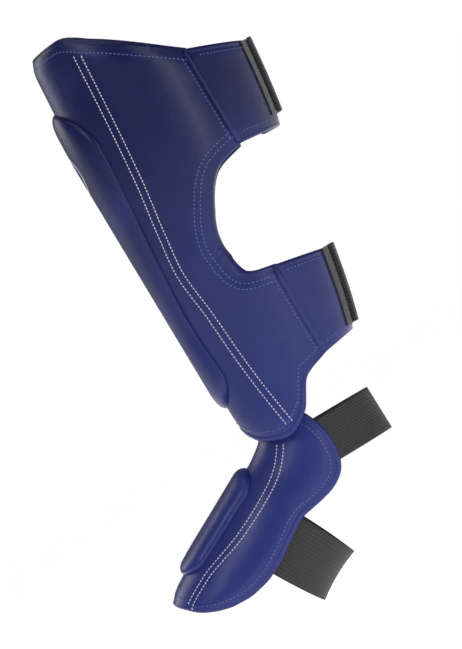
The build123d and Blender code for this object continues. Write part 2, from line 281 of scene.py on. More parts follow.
def frames_along(points):
    """The direction of travel at each point of a path."""
    last = len(points) - 1
    ways = []
    for k in range(len(points)):
        ways.append((points[min(k + 1, last)] - points[max(k - 1, 0)]).normalized())
    return ways


def edging(bm, outer, inner, inward_hint, width, proud, sides=14):
    """A folded binding round an edge: it wraps from the outer skin to the inner one."""
    middle = [(a + b) / 2 for a, b in zip(outer, inner)]
    ways = frames_along(middle)
    count = len(middle)

    def place(u, v):
        k = min(int(round(v * (count - 1))), count - 1)
        normal = (outer[k] - inner[k]).normalized()
        half = (outer[k] - inner[k]).length / 2 + proud
        inward = normal.cross(ways[k]).normalized()
        if inward.dot(inward_hint[k] - middle[k]) < 0:
            inward = -inward
        turn = 2 * math.pi * u
        x, y = math.cos(turn), math.sin(turn)
        x = math.copysign(abs(x) ** 0.75, x)
        y = math.copysign(abs(y) ** 0.75, y)
        return middle[k] + inward * (width * 0.36 + x * width * 0.5) + normal * (y * half)

    grid_patch(bm, sides, count - 1, place)
    bmesh.ops.remove_doubles(bm, verts=bm.verts, dist=0.01)
    ends = [e for e in bm.edges if e.is_boundary]
    bmesh.ops.holes_fill(bm, edges=ends, sides=0)
    bmesh.ops.recalc_face_normals(bm, faces=bm.faces)


STITCH_LIFT = 0.1    # how far a row of stitches rides above the leather


def walk(points, pitch):
    """Evenly spaced places along a path, with the direction of travel at each."""
    out, left = [], pitch / 2
    for a, b in zip(points, points[1:]):
        length = (b - a).length
        while left <= length and length > 0:
            out.append((a.lerp(b, left / length), (b - a).normalized()))
            left += pitch
        left -= length
    return out


def sew(bm, points, normals, pitch, length, thick):
    """A row of stitches: each a short rounded thread that dips in at both ends."""
    tree = kdtree.KDTree(len(points))
    for k, point in enumerate(points):
        tree.insert(point, k)
    tree.balance()
    for place, way in walk(points, pitch):
        normal = normals[tree.find(place)[1]]
        side = way.cross(normal).normalized()
        up = side.cross(way).normalized()
        basis = Matrix((way, side, up)).transposed().to_4x4()
        size = Matrix.Diagonal((length / 2, thick * 0.55, thick * 0.45, 1))
        bmesh.ops.create_uvsphere(
            bm, u_segments=6, v_segments=4, radius=1.0,
            matrix=Matrix.Translation(place) @ basis @ size,
        )


# ---------------------------------------------------------------- materials
class Value:
    """A shader value that Python's operators can be used on."""

    def __init__(self, shader, socket):
        self.shader, self.socket = shader, socket

    def _math(self, operation, a, b):
        return self.shader.node("ShaderNodeMath", {"operation": operation}, {0: a, 1: b})[0]

    def __add__(self, other):
        return self._math("ADD", self, other)

    __radd__ = __add__

    def __mul__(self, other):
        return self._math("MULTIPLY", self, other)

    __rmul__ = __mul__

    def __sub__(self, other):
        return self._math("SUBTRACT", self, other)

    def __rsub__(self, other):
        return self._math("SUBTRACT", other, self)


class Shader:
    """A material being built from nodes."""

    def __init__(self, name):
        self.material = bpy.data.materials.new(name)
        self.material.use_nodes = True
        self.tree = self.material.node_tree
        self.surface = self.tree.nodes["Principled BSDF"]

    def node(self, kind, settings=None, sockets=None):
        """Add a node: its type, then its settings, then the values or links of its sockets."""
        node = self.tree.nodes.new(kind)
        for key, value in (settings or {}).items():
            setattr(node, key, value)
        for key, value in (sockets or {}).items():
            if isinstance(value, Value):
                self.tree.links.new(value.socket, node.inputs[key])
            else:
                node.inputs[key].default_value = value
        return [Value(self, output) for output in node.outputs]

    def constant(self, **values):
        for key, value in values.items():
            self.surface.inputs[key.replace("_", " ")].default_value = value

    def varying(self, key, value):
        self.tree.links.new(value.socket, self.surface.inputs[key])

    def mix(self, factor, a, b):
        return self.node(
            "ShaderNodeMix", {"data_type": "RGBA"}, {0: factor, 6: a, 7: b}
        )[2]

    def place(self):
        return self.node("ShaderNodeTexCoord")[3]

    def spread(self, value, low, high, to_low=0.0, to_high=1.0):
        return self.node(
            "ShaderNodeMapRange", {"interpolation_type": "SMOOTHSTEP"},
            {0: value, 1: low, 2: high, 3: to_low, 4: to_high},
        )[0]

    def noise(self, scale, detail=3.0, vector=None, rough=0.5):
        return self.node(
            "ShaderNodeTexNoise", {},
            {"Vector": vector or self.place(), "Scale": scale, "Detail": detail,
             "Roughness": rough},
        )[0]

    def bump(self, height, distance, strength=1.0, under=None):
        sockets = {"Strength": strength, "Distance": distance, "Height": height}
        if under:
            sockets["Normal"] = under
        return self.node("ShaderNodeBump", {}, sockets)[0]


def rgba(colour):
    """A colour with full alpha."""
    return (colour[0], colour[1], colour[2], 1.0)


def leather_finish(name, deep, lit_blue, shine):
    """Smooth coated synthetic leather: a fine pebble grain, soft dents and faint rubbed spots, over
    painted shade that darkens the blue towards the top and painted light that brightens it towards
    the bottom.
    """
    m = Shader(name)
    spot = m.place()
    height = m.node("ShaderNodeSeparateXYZ", {}, {0: spot})[2]
    # painted shade and painted light: by height, the leather fades from the darker blue at the top,
    # which is painted shade, to the brighter blue at the bottom, which is painted light
    lit_low_share = m.spread(height, 0.34, -0.06)
    cloud = m.noise(14.0, 4.0, spot)
    lit_and_shaded_tone = m.mix(lit_low_share, rgba(deep), rgba(lit_blue))
    worn = [min(1.0, c * 1.35 + 0.004) for c in lit_blue]
    colour = m.mix(m.spread(cloud, 0.48, 0.78, 0.0, 0.35), lit_and_shaded_tone, rgba(worn))
    m.varying("Base Color", colour)
    cells = m.node(
        "ShaderNodeTexVoronoi", {"feature": "F1"}, {"Vector": spot, "Scale": 950.0}
    )[0]
    fine = m.noise(2300.0, 2.0, spot)
    dents = m.noise(38.0, 3.0, spot)
    soft = m.bump(dents, 0.0016, 0.35)
    grain = m.bump(cells * 0.7 + fine * 0.3, 0.00018, 0.55, soft)
    m.varying("Normal", grain)
    m.varying("Roughness", m.spread(cloud, 0.3, 0.75, shine, shine + 0.09))
    m.constant(Coat_Weight=0.08, Coat_Roughness=0.22, Specular_IOR_Level=0.24)
    return m.material


def textile_finish(name, colour, pitch, lift, sheen=0.25, rough=0.85):
    """A close textile: two crossing sets of yarns, with a little fluff in its colour."""
    m = Shader(name)
    spot = m.place()
    waves = [
        m.node(
            "ShaderNodeTexWave",
            {"wave_type": "BANDS", "bands_direction": way},
            {"Vector": spot, "Scale": 0.314 / pitch, "Distortion": 0.6, "Detail": 1.0},
        )[1]
        for way in ("DIAGONAL", "Z")
    ]
    fluff = m.noise(420.0, 4.0, spot)
    lighter = [min(1.0, c * 2.1 + 0.012) for c in colour]
    m.varying("Base Color", m.mix(fluff * 0.55, rgba(colour), rgba(lighter)))
    m.varying("Normal", m.bump(waves[0] * 0.5 + waves[1] * 0.5 + fluff * 0.4, lift, 0.7))
    m.varying("Roughness", m.spread(fluff, 0.2, 0.8, rough - 0.08, rough + 0.08))
    m.constant(Sheen_Weight=sheen, Sheen_Roughness=0.4)
    return m.material


def ribbed_finish(name, colour, ribs, rough=0.7):
    """Woven elastic or webbing: ribs along the tape, crossed by fine wefts, from its own UV."""
    m = Shader(name)
    uv = m.node("ShaderNodeUVMap", {"uv_map": "UVMap"})[0]
    along, across, _ = m.node("ShaderNodeSeparateXYZ", {}, {0: uv})
    rib = m.node("ShaderNodeMath", {"operation": "SINE"}, {0: across * (2 * math.pi * ribs)})[0]
    weft = m.node("ShaderNodeMath", {"operation": "SINE"}, {0: along * (2 * math.pi * 150)})[0]
    fluff = m.noise(700.0, 3.0)
    raised = rib * 0.35 + weft * 0.15 + 0.5
    lighter = [min(1.0, c * 2.6 + 0.02) for c in colour]
    m.varying("Base Color", m.mix(raised * 0.45 + fluff * 0.25, rgba(colour), rgba(lighter)))
    m.varying("Normal", m.bump(raised + fluff * 0.2, 0.0005, 0.8))
    m.varying("Roughness", m.spread(fluff, 0.2, 0.8, rough - 0.08, rough + 0.1))
    m.constant(Sheen_Weight=0.15, Sheen_Roughness=0.4)
    return m.material


def thread_finish(name, colour):
    """Twisted polyester sewing thread."""
    m = Shader(name)
    twist = m.node(
        "ShaderNodeTexWave", {"wave_type": "BANDS", "bands_direction": "DIAGONAL"},
        {"Vector": m.place(), "Scale": 700.0, "Distortion": 0.3},
    )[1]
    darker = [c * 0.72 for c in colour]
    m.varying("Base Color", m.mix(twist, rgba(darker), rgba(colour)))
    m.varying("Normal", m.bump(twist, 0.0001, 0.6))
    m.constant(Roughness=0.55)
    return m.material


FINISHES = {}


def finish_for(key):
    """The named finish, made once."""
    sizes = bpy.context.scene.guard_sizes
    makers = {
        # both leather finishes carry painted shade towards the top and painted light towards the
        # bottom
        "leather": lambda: leather_finish(
            "shell_leather", sizes.shaded_top_blue, sizes.lit_bottom_blue, 0.30),
        "binding": lambda: leather_finish(
            "edge_binding", sizes.shaded_top_blue, sizes.lit_bottom_blue, 0.26),
        "lining": lambda: textile_finish("inner_textile", (0.016, 0.017, 0.022), 0.0011, 0.0004),
        "pile": lambda: textile_finish("loop_pile", (0.012, 0.012, 0.013), 0.0009, 0.0012, 0.5, 0.9),
        "hooks": lambda: textile_finish("hook_tape", (0.02, 0.02, 0.022), 0.0014, 0.0008, 0.1, 0.6),
        "elastic": lambda: ribbed_finish("ribbed_elastic", (0.012, 0.012, 0.013), 16),
        "webbing": lambda: ribbed_finish("closing_webbing", (0.014, 0.014, 0.016), 24),
        "white_thread": lambda: thread_finish("white_thread", (0.78, 0.79, 0.82)),
        "blue_thread": lambda: thread_finish("blue_thread", sizes.thread_blue),
        "print": lambda: thread_finish("white_print", (0.82, 0.82, 0.84)),
    }
    if key not in FINISHES:
        FINISHES[key] = makers[key]()
    return FINISHES[key]


# ---------------------------------------------------------------- shell
CENTRE_COLUMNS = 64
WING_COLUMNS = 22


def shell_column(u, z, level):
    """The angle of a column of the shell at height z, u from -1, the far seam, to 1."""
    centre = CENTRE_COLUMNS / (CENTRE_COLUMNS + 2 * WING_COLUMNS)
    waist = leg_angle(WAIST_Y, z)
    side = abs(u)
    if side <= centre:
        return math.copysign(waist * side / centre, u), 0.0
    q = (side - centre) / (1 - centre)
    y = WAIST_Y + q * q * (SEAM_Y[level] - WAIST_Y)
    return math.copysign(leg_angle(y, z), u), q


def shell_sheet(bm, inside, rows=(52, 62)):
    """One skin of the shell: a lower and an upper patch that meet level with the waist."""
    columns = CENTRE_COLUMNS + 2 * WING_COLUMNS

    def lower(u, v):
        u = 2 * u - 1
        _, q = shell_column(u, WAIST_Z, "lower")
        bottom = settle(BOTTOM_LINE, lambda z: abs(shell_column(u, z, "lower")[0]))
        z = bottom + (CUT_LOWER(q) - bottom) * v
        return shell_skin(shell_column(u, z, "lower")[0], z, inside)

    def upper(u, v):
        u = 2 * u - 1
        _, q = shell_column(u, WAIST_Z, "upper")
        top = settle(TOP_LINE, lambda z: abs(shell_column(u, z, "upper")[0]))
        z = CUT_UPPER(q) + (top - CUT_UPPER(q)) * v
        return shell_skin(shell_column(u, z, "upper")[0], z, inside)

    grid_patch(bm, columns, rows[0], lower)
    grid_patch(bm, columns, rows[1], upper)
    bmesh.ops.remove_doubles(bm, verts=bm.verts, dist=0.05)
    bmesh.ops.recalc_face_normals(bm, faces=bm.faces)
    face_out(bm, toward_outside=not inside)


def thicken(piece, thickness, offset):
    """A live Solidify, so that a sheet is a closed skin."""
    skin = piece.modifiers.new("Thickness", "SOLIDIFY")
    skin.thickness = thickness * MM
    skin.offset = offset
    return piece


def build_shell():
    """The leather cover of the shin and the textile inside it."""
    bm = bmesh.new()
    shell_sheet(bm, inside=False)
    cover = make_object("shin_leather_cover", bm, "shell",
                        finish_for("leather"), nodes=("shin_cover", "shin_foam"))
    thicken(cover, 1.2, -1.0)
    bm = bmesh.new()
    shell_sheet(bm, inside=True)
    lining = make_object("shin_textile_lining", bm, "shell",
                         finish_for("lining"), nodes=("shin_lining",))
    thicken(lining, 1.0, -1.0)


def build_shell_binding():
    """A folded binding along the top, the bottom and both cut-outs."""
    for name, path in SHELL_EDGES.items():
        outer = [shell_skin(a, z) for a, z in path]
        inner = [shell_skin(a, z, inside=True) for a, z in path]
        hints = []
        for angle, z in path:
            if name == "top":
                hints.append(leg_point(angle, z - 20))
            elif name == "bottom":
                hints.append(leg_point(angle, z + 20))
            else:
                rise = min(max((z - WAIST_Z) / 10.0, -1.0), 1.0)
                hints.append(leg_point(angle * 0.93, z + 30.0 * rise))
        bm = bmesh.new()
        edging(bm, outer, inner, hints, 6.0, 0.9)
        make_object(f"shin_binding_{name}", bm, "shell",
                    finish_for("binding"), nodes=("shin_binding",))


BAR_TOP, BAR_BOTTOM, BAR_HEIGHT = 336.0, 62.0, 6.0
BAR_HALF = smooth_line([62.0, 86.0, 125.0, 190.0, 231.0, 294.0, 336.0],
                       [33.0, 33.0, 31.0, 38.0, 44.5, 50.0, 50.0])


def bar_half_width(z):
    """Half width of the shin's raised bar, with rounded ends."""
    low = min(1.0, (z - BAR_BOTTOM) / 26.0)
    high = min(1.0, (BAR_TOP - z) / 42.0)
    ends = math.sqrt(max(0.0, 1 - (1 - low) ** 2)) * math.sqrt(max(0.0, 1 - (1 - high) ** 2))
    return BAR_HALF(z) * ends


def pillow(u, steep=9.0):
    """1 over the middle of a pad, falling in a round shoulder to 0 at its rim."""
    return (1 - abs(u) ** steep) ** 0.55


def build_bar():
    """The raised, crowned bar down the front of the shin."""
    def place(u, v):
        t = 0.5 - 0.5 * math.cos(math.pi * v)
        z = BAR_BOTTOM + (BAR_TOP - BAR_BOTTOM) * t
        across = 2 * u - 1
        x = bar_half_width(z) * across
        half = leg_ring(z)[0]
        angle = math.asin(max(-1.0, min(1.0, x / half)))
        ends = pillow(2 * t - 1, 24.0)
        crown = 0.9 * math.cos(across * math.pi / 2)
        lift = -1.0 + (BAR_HEIGHT + 0.6 + crown) * pillow(across) * ends
        return leg_point(angle, z, lift=min(lift, BAR_HEIGHT + 0.3))

    bm = bmesh.new()
    grid_patch(bm, 64, 150, place)
    bmesh.ops.remove_doubles(bm, verts=bm.verts, dist=0.02)
    bmesh.ops.recalc_face_normals(bm, faces=bm.faces)
    face_front(bm)
    bar = make_object("shin_bar_leather", bm, "shell", finish_for("leather"),
                      nodes=("shin_bar_cover", "shin_bar_foam"))
    thicken(bar, 1.0, -1.0)


# ---------------------------------------------------------------- instep
SLOPE = math.radians(28.0)
ALONG = Vector((0, -math.cos(SLOPE), -math.sin(SLOPE)))
INWARD = Vector((0, math.sin(SLOPE), -math.cos(SLOPE)))
BEND = Vector((0, -69.0, 16.7))
TONGUE_Y, TONGUE_TOP = -54.7, 48.0
# Rings of the instep: front point, share of the turn, depth and half width
RINGS = [
    (Vector((0, TONGUE_Y + 2.0, 60.0)), 0.0, 92.0, 40.5),
    (Vector((0, TONGUE_Y, 36.0)), 0.0, 95.0, 41.5),
    (Vector((0, TONGUE_Y - 1.5, 28.0)), 0.2, 98.0, 42.0),
    (BEND, 0.66, 104.0, 44.5),
    (BEND + ALONG * 22.0, 1.0, 106.0, 51.0),
    (BEND + ALONG * 55.0, 1.0, 106.0, 53.0),
    (BEND + ALONG * 90.0, 1.0, 96.0, 52.0),
    (BEND + ALONG * 118.0 + INWARD * 1.5, 1.0, 86.0, 48.0),
    (BEND + ALONG * 144.0 + INWARD * 5.0, 1.0, 76.0, 44.0),
]
STEPS = list(range(len(RINGS)))
RING_Y = smooth_line(STEPS, [r[0].y for r in RINGS])
RING_Z = smooth_line(STEPS, [r[0].z for r in RINGS])
RING_TURN = smooth_line(STEPS, [r[1] for r in RINGS])
RING_DEPTH = smooth_line(STEPS, [r[2] for r in RINGS])
RING_HALF = smooth_line(STEPS, [r[3] for r in RINGS])
INSTEP_PAD, INSTEP_SIDE_PAD = 10.0, 8.0


def instep_point(angle, s, inside=False, lift=0.0):
    """A point on the instep's surface; s counts the rings from the tongue to the toe."""
    turn = RING_TURN(s) * (math.pi / 2 - SLOPE)
    down = Vector((0, math.cos(turn), -math.sin(turn)))
    radius, half = RING_DEPTH(s) / 2, RING_HALF(s)
    centre = Vector((0, RING_Y(s), RING_Z(s))) + down * radius
    if inside:
        radius, half = radius - INSTEP_PAD, half - INSTEP_SIDE_PAD
    radius, half = radius + lift, half + lift
    return centre + Vector((half * math.sin(angle), 0, 0)) - down * (radius * math.cos(angle))


TOE = BEND + ALONG * 132.0
REAR_LINE = [(-55.9, 48.0), (-38.0, 43.0), (-22.0, 34.0), (-14.0, 26.0), (-7.5, 12.0),
             (-5.0, 0.0), (-5.5, -15.0), (-9.5, -27.0)]
LOWER_LINE = [(-22.0, -36.0), (-38.0, -39.5), (-58.0, -42.5), (-74.0, -53.0), (-90.0, -64.0),
              (-106.0, -72.5), (-124.0, -76.5), (-142.0, -75.5), (-156.0, -71.0),
              (-168.0, -64.5), (-177.0, -57.5), (-183.5, -49.0), (TOE.y + 1.0, TOE.z)]


def instep_outside(point):
    """Whether a point lies past the instep's edge, seen from the side."""
    corners = REAR_LINE + LOWER_LINE + [(TOE.y + 9, TOE.z + 30), (-91.0, 80.0), (-60.0, 80.0)]
    inside = False
    for (y0, z0), (y1, z1) in zip(corners, corners[1:] + corners[:1]):
        if (z0 > point.z) != (z1 > point.z):
            if point.y < y0 + (point.z - z0) / (z1 - z0) * (y1 - y0):
                inside = not inside
    return not inside


def instep_reach(s):
    """The angle at which a ring of the instep meets its edge."""
    low, high = 0.05, 0.05
    while high < 2.6 and not instep_outside(instep_point(high, s)):
        low, high = high, high + 0.04
    for _ in range(12):
        middle = (low + high) / 2
        if instep_outside(instep_point(middle, s)):
            high = middle
        else:
            low = middle
    return low


INSTEP_FIRST, INSTEP_LAST = 0.62, 7.52
INSTEP_ROWS = 90
REACH = [instep_reach(INSTEP_FIRST + (INSTEP_LAST - INSTEP_FIRST) * k / INSTEP_ROWS)
         for k in range(INSTEP_ROWS + 1)]
for _ in range(3):
    REACH = [REACH[0]] + [
        (a + 2 * b + c) / 4 for a, b, c in zip(REACH, REACH[1:], REACH[2:])
    ] + [REACH[-1]]


def instep_row(v):
    """The ring number and edge angle of a row of the instep, v from 0 to 1."""
    place = v * INSTEP_ROWS
    k = min(int(place), INSTEP_ROWS - 1)
    reach = REACH[k] + (REACH[k + 1] - REACH[k]) * (place - k)
    return INSTEP_FIRST + (INSTEP_LAST - INSTEP_FIRST) * v, reach


def instep_skin(u, v, inside=False, lift=0.0):
    """A point on the finished instep, u across from -1 to 1 and v from tongue to toe."""
    s, reach = instep_row(v)
    outer = instep_point(u * reach, s)
    inner = instep_point(u * reach, s, inside=True)
    side_room = (1 - abs(u)) * reach * RING_HALF(s)
    toe_room = (1 - v) * 190.0
    near = max(0.0, 1 - min(side_room, toe_room) / ROLL_WIDTH) ** 2
    across = outer - inner
    normal = across.normalized()
    if inside:
        return inner + across * ROLL_INSIDE * near + normal * lift
    return outer - across * ROLL_OUTSIDE * near + normal * lift


def build_instep():
    """The leather cover of the instep and the textile inside it."""
    for name, inside, finish, slot, nodes in (
        ("instep_leather_cover", False, "leather", "shell_leather", ("instep_cover", "instep_foam")),
        ("instep_textile_lining", True, "lining", "inner_textile", ("instep_lining",)),
    ):
        bm = bmesh.new()
        grid_patch(bm, 72, INSTEP_ROWS,
                   lambda u, v, inside=inside: instep_skin(2 * u - 1, v, inside))
        bmesh.ops.recalc_face_normals(bm, faces=bm.faces)
        face_out(bm, toward_outside=not inside)
        piece = make_object(name, bm, "instep", finish_for(finish), nodes=nodes)
        thicken(piece, 1.1, -1.0)


def instep_edge(inset=0.0):
    """The instep's free edge from the near tongue round the toe to the far tongue."""
    path = []
    for k in range(0, INSTEP_ROWS + 1):
        v = k / INSTEP_ROWS
        s, reach = instep_row(v)
        path.append((1 - inset / (reach * RING_HALF(s)), min(v, 1 - inset / 190.0)))
    path = [p for p in path if p[1] < 1 - inset / 190.0 - 1e-6]
    edge_u, edge_v = path[-1][0], 1 - inset / 190.0
    for k in range(49):
        path.append((edge_u * (1 - 2 * k / 48), edge_v))
    return path + [(-u, v) for u, v in reversed(path[: len(path) - 49])]


def build_instep_binding():
    """The folded binding round the instep's free edge."""
    path = instep_edge()
    outer = [instep_skin(u, v) for u, v in path]
    inner = [instep_skin(u, v, inside=True) for u, v in path]
    hints = [instep_skin(u * 0.7, min(v, 0.9) * 0.98) for u, v in path]
    bm = bmesh.new()
    edging(bm, outer, inner, hints, 6.0, 0.9)
    make_object("instep_binding_edge", bm, "instep", finish_for("binding"),
                nodes=("instep_binding",))


INSTEP_BAR = (8.0, 108.0, 33.0)


def build_instep_bar():
    """The raised, crowned bar on the instep."""
    start, end, half_width = INSTEP_BAR

    def place(u, v):
        t = 0.5 - 0.5 * math.cos(math.pi * v)
        run = start + (end - start) * t
        s = ring_at(run)
        room = min(run - start, end - run) / 20.0
        half = half_width * math.sqrt(max(0.0, 1 - max(0.0, 1 - room) ** 2)) ** 0.8
        across = 2 * u - 1
        angle = math.asin(max(-1.0, min(1.0, half * across / RING_HALF(s))))
        lift = -1.0 + (BAR_HEIGHT + 1.0 + 0.6 * math.cos(across * math.pi / 2)) * (
            pillow(across) * pillow(2 * t - 1, 14.0)
        )
        return instep_point(angle, s, lift=min(lift, BAR_HEIGHT + 0.3))

    bm = bmesh.new()
    grid_patch(bm, 48, 80, place)
    bmesh.ops.remove_doubles(bm, verts=bm.verts, dist=0.02)
    bmesh.ops.recalc_face_normals(bm, faces=bm.faces)
    face_front(bm)
    bar = make_object("instep_bar_leather", bm, "instep",
                      finish_for("leather"), nodes=("instep_bar_cover", "instep_bar_foam"))
    thicken(bar, 1.0, -1.0)


def ring_at(run):
    """The ring number whose front lies this far past the bend, along the slope."""
    low, high = 2.0, 8.0
    for _ in range(30):
        middle = (low + high) / 2
        front = Vector((0, RING_Y(middle), RING_Z(middle)))
        if (front - BEND).dot(ALONG) < run:
            low = middle
        else:
            high = middle
    return low


# ---------------------------------------------------------------- straps
def strap_heights(level, y, back):
    """Bottom and top of a near strap at this Y: it narrows from its seam to the calf."""
    share = (y - SEAM_Y[level]) / (back - SEAM_Y[level])
    low = SEAM_BOTTOM[level] + share * (STRAP_BACK_BOTTOM[level] - SEAM_BOTTOM[level])
    high = SEAM_TOP[level] + share * (STRAP_BACK_TOP[level] - SEAM_TOP[level])
    return low, high


def calf_angles(level, x_end, z, lift=0.0):
    """Angles of the near seam and of the place past the back where X is x_end."""
    half, _, _ = leg_ring(z, lift=lift)
    return leg_angle(SEAM_Y[level], z), math.pi - math.asin(x_end / half)


def strap_place(level, u, v, lift, inset=0.0):
    """A point on the near strap, u from its seam to its tip and v from bottom to top."""
    middle_z = (SEAM_TOP[level] + SEAM_BOTTOM[level]) / 2
    z = middle_z
    for _ in range(4):
        start, end = calf_angles(level, STRAP_TIP[level], z, lift)
        angle = start + (end - start) * u
        _, middle, radius = leg_ring(z)
        low, high = strap_heights(level, middle - radius * math.cos(angle), middle + radius)
        z = low + inset + (high - low - 2 * inset) * v
    return leg_point(angle, z, lift=lift), angle, z


def build_near_strap(level):
    """A near strap: leather, textile, bound edges and its stitches."""
    body = f"{level}_strap"

    def outer(u, v):
        rim = min(v, 1 - v, (1 - u) * 1.4)
        puff = -0.9 * max(0.0, 1 - rim / 0.12) ** 2
        return strap_place(level, u, v, puff)[0]

    bm = bmesh.new()
    grid_patch(bm, 60, 30, outer)
    bmesh.ops.recalc_face_normals(bm, faces=bm.faces)
    face_out(bm)
    strap = make_object(f"{level}_strap_leather", bm, body,
                        finish_for("leather"),
                        nodes=(f"{level}_strap_cover", f"{level}_strap_padding"))
    thicken(strap, 3.4, -1.0)
    bm = bmesh.new()
    grid_patch(bm, 60, 8, lambda u, v: strap_place(level, 0.04 + 0.96 * u, v, -3.5, 2.0)[0])
    bmesh.ops.recalc_face_normals(bm, faces=bm.faces)
    face_out(bm, toward_outside=False)
    lining = make_object(f"{level}_strap_textile", bm, body,
                         finish_for("lining"), nodes=(f"{level}_strap_lining",))
    thicken(lining, 1.0, 1.0)
    path = [(k / 50, 1.0) for k in range(51)]
    path += [(1.0, 1 - k / 16) for k in range(1, 17)]
    path += [(1 - k / 50, 0.0) for k in range(1, 51)]
    outer_line = [strap_place(level, u, v, -0.7)[0] for u, v in path]
    inner_line = [strap_place(level, u, v, -4.2)[0] for u, v in path]
    hints = [strap_place(level, min(u, 0.9), 0.2 + 0.6 * v, -2.0)[0] for u, v in path]
    bm = bmesh.new()
    edging(bm, outer_line, inner_line, hints, 5.0, 0.5, sides=12)
    make_object(f"{level}_strap_edge", bm, body, finish_for("binding"))
    stitches = bmesh.new()
    for inset_v in (0.085, 0.915):
        row = [strap_place(level, 0.06 + 0.6 * k / 60, inset_v, 0.05) for k in range(61)]
        points = [p for p, _, _ in row]
        sew(stitches, points, [ellipse_normal(a, z) for _, a, z in row], 3.4, 2.3, 0.7)
    make_object(f"{level}_strap_stitches", stitches, body,
                finish_for("blue_thread"))


def ellipse_normal(angle, z):
    """Outward direction of the shell's surface."""
    half, _, radius = leg_ring(z)
    return Vector((math.sin(angle) / half, -math.cos(angle) / radius, 0)).normalized()


def tape(name, body, finish, nodes, path_angle, z_low, z_high, lift, thick, columns=60):
    """A tape that lies on the sleeve at this lift, from one angle to another."""
    first, last = path_angle
    bm = bmesh.new()
    grid_patch(
        bm, columns, 20,
        lambda u, v: leg_point(first + (last - first) * u, z_low + (z_high - z_low) * v, lift=lift),
    )
    bmesh.ops.recalc_face_normals(bm, faces=bm.faces)
    face_out(bm)
    piece = make_object(name, bm, body, finish_for(finish), nodes=nodes)
    thicken(piece, thick, -1.0)
    soft = piece.modifiers.new("Soft edge", "BEVEL")
    soft.width, soft.segments, soft.limit_method = 0.35 * MM, 2, "ANGLE"
    row = [leg_point(first + (last - first) * k / 60, z_low, lift=lift) for k in range(61)]
    return piece


def build_closure(level):
    """A closing strap with its hooks, its loops, its sewn end and the stitches there."""
    middle = CLOSURE_MIDDLE[level]
    low, high = middle - CLOSURE_HEIGHT / 2, middle + CLOSURE_HEIGHT / 2
    inside = LOOP_THICK + CLOSURE_GAP + HOOK_THICK
    outside = inside + CLOSURE_THICK
    half = leg_ring(middle, lift=inside)[0]
    end = math.pi - math.asin(CLOSURE_END / half)
    far_seam = 2 * math.pi - leg_angle(SEAM_Y[level], middle)
    hook_start = math.pi - math.asin((CLOSURE_END - 46.0) / half)
    loop_last = math.pi - math.asin(STRAP_TIP[level] / half)
    loop_first = math.pi - math.asin((CLOSURE_END + 12.0) / half)
    tape(f"{level}_closing_strap", f"{level}_closure", "webbing",
         (f"{level}_closure_strap",), (end, far_seam - 0.01), low, high, outside, CLOSURE_THICK)
    tape(f"{level}_hooks", f"{level}_closure", "hooks",
         (f"{level}_hook_tape",), (end + 0.01, hook_start), low + 1, high - 1, inside, HOOK_THICK)
    tape(f"{level}_loops", f"{level}_strap", "pile",
         (f"{level}_loop_panel",), (loop_first, loop_last), low, high, LOOP_THICK, LOOP_THICK)
    anchor_first = far_seam
    anchor_last = 2 * math.pi - leg_angle(SEAM_Y[level] - 18.0, middle)
    tape(f"{level}_strap_anchor", "shell", "webbing",
         (f"{level}_closure_anchor",), (anchor_first, anchor_last), low, high, outside,
         CLOSURE_THICK + 1.6, 16)
    box = bmesh.new()
    for inset in (4.0, 14.0):
        row = []
        for k in range(31):
            z = low + 4 + (high - low - 8) * k / 30
            row.append((2 * math.pi - leg_angle(SEAM_Y[level] - inset, z), z))
        sew(box, [leg_point(a, z, lift=outside + 0.1) for a, z in row],
            [ellipse_normal(a, z) for a, z in row], 3.0, 2.2, 0.8)
    make_object(f"{level}_anchor_stitches", box, "shell",
                finish_for("blue_thread"))
    row = [(end + 0.06, low + 3 + (high - low - 6) * k / 30) for k in range(31)]
    ends = bmesh.new()
    sew(ends, [leg_point(a, z, lift=outside + 0.1) for a, z in row],
        [ellipse_normal(a, z) for a, z in row], 3.0, 2.2, 0.8)
    make_object(f"{level}_closure_stitches", ends, f"{level}_closure",
                finish_for("blue_thread"))


def build_welts():
    """The folded leather welt over each upright seam."""
    for level in ("upper", "lower"):
        for side in (1, -1):
            low, high = SEAM_BOTTOM[level] + 1.5, SEAM_TOP[level] - 2.0
            path = [low + (high - low) * k / 40 for k in range(41)]
            points, ways = [], []
            for z in path:
                angle = side * leg_angle(SEAM_Y[level] - 0.5, z)
                points.append(shell_skin(angle, z))
                ways.append(ellipse_normal(angle, z))
            travel = frames_along(points)

            def place(u, v):
                k = min(int(round(v * 40)), 40)
                turn = 2 * math.pi * u
                across = ways[k].cross(travel[k]).normalized()
                return (points[k] + across * (2.7 * math.cos(turn))
                        + ways[k] * (1.7 * math.sin(turn)))

            bm = bmesh.new()
            grid_patch(bm, 12, 40, place)
            bmesh.ops.remove_doubles(bm, verts=bm.verts, dist=0.01)
            bmesh.ops.holes_fill(bm, edges=[e for e in bm.edges if e.is_boundary], sides=0)
            bmesh.ops.recalc_face_normals(bm, faces=bm.faces)
            name = "near" if side > 0 else "far"
            make_object(f"{level}_{name}_seam_welt", bm, "shell",
                        finish_for("binding"))


